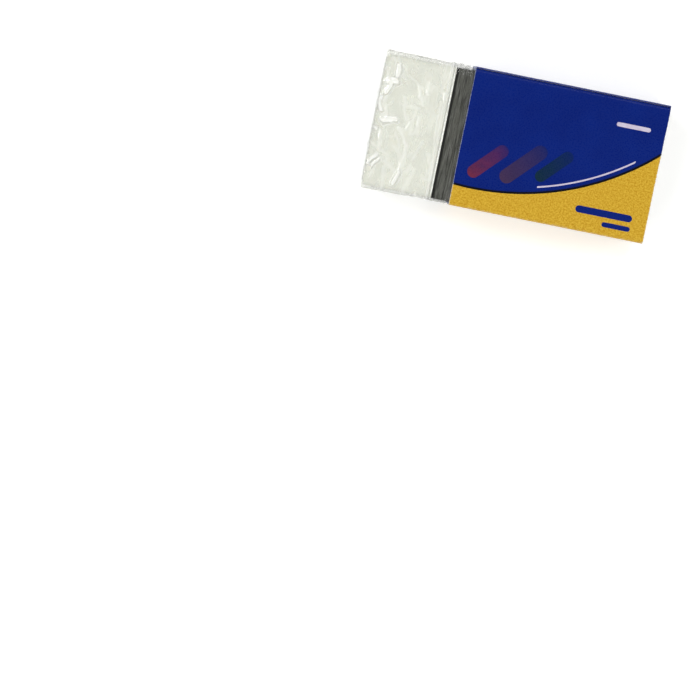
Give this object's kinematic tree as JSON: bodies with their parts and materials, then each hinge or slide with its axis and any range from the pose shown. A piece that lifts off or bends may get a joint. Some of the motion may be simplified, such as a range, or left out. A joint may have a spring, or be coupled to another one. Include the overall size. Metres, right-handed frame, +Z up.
{
  "type": "rubber eraser",
  "caption": "White rubber eraser block sealed in clear film, held in a folded card sleeve printed blue and gold, with a dark tear tape at the sleeve's mouth.",
  "frame": {"origin": "centre of the whole eraser's footprint on the surface that its back panel lies on", "axes": "+X along the length, from the bare end to the sleeved end; +Y across, towards the sleeve's lapped side; +Z up, out of the printed front panel"},
  "size_m": [0.045, 0.0218, 0.0124],
  "materials": {
    "white_rubber": "matte, slightly translucent cast white rubber",
    "clear_film": "thin glossy clear film, wrinkled",
    "dark_tape": "dark grey tear tape with fine streaks along its length",
    "blue_card": "coated card, blue print with a soft gloss, pale cut edges",
    "gold_ink": "printed gold-yellow field, soft gloss with a fine mottle",
    "crimson_ink": "printed dark crimson",
    "mauve_ink": "printed dark mauve",
    "green_ink": "printed dark green",
    "pale_ink": "unprinted card showing pale through the blue"
  },
  "bodies": {
    "wrapped_block": {"rubber_block": "white_rubber", "film_wrap": "clear_film", "tear_tape": "dark_tape"},
    "sleeve": {"card_sleeve": "blue_card", "gold_print": "gold_ink", "crimson_print": "crimson_ink", "mauve_print": "mauve_ink", "green_print": "green_ink", "pale_print": "pale_ink"}
  },
  "joints": [
    {"name": "sleeve_slide", "type": "slide", "parent": "wrapped_block", "child": "sleeve", "axis": [1, 0, 0], "range_m": [0, 0.032]}
  ]
}
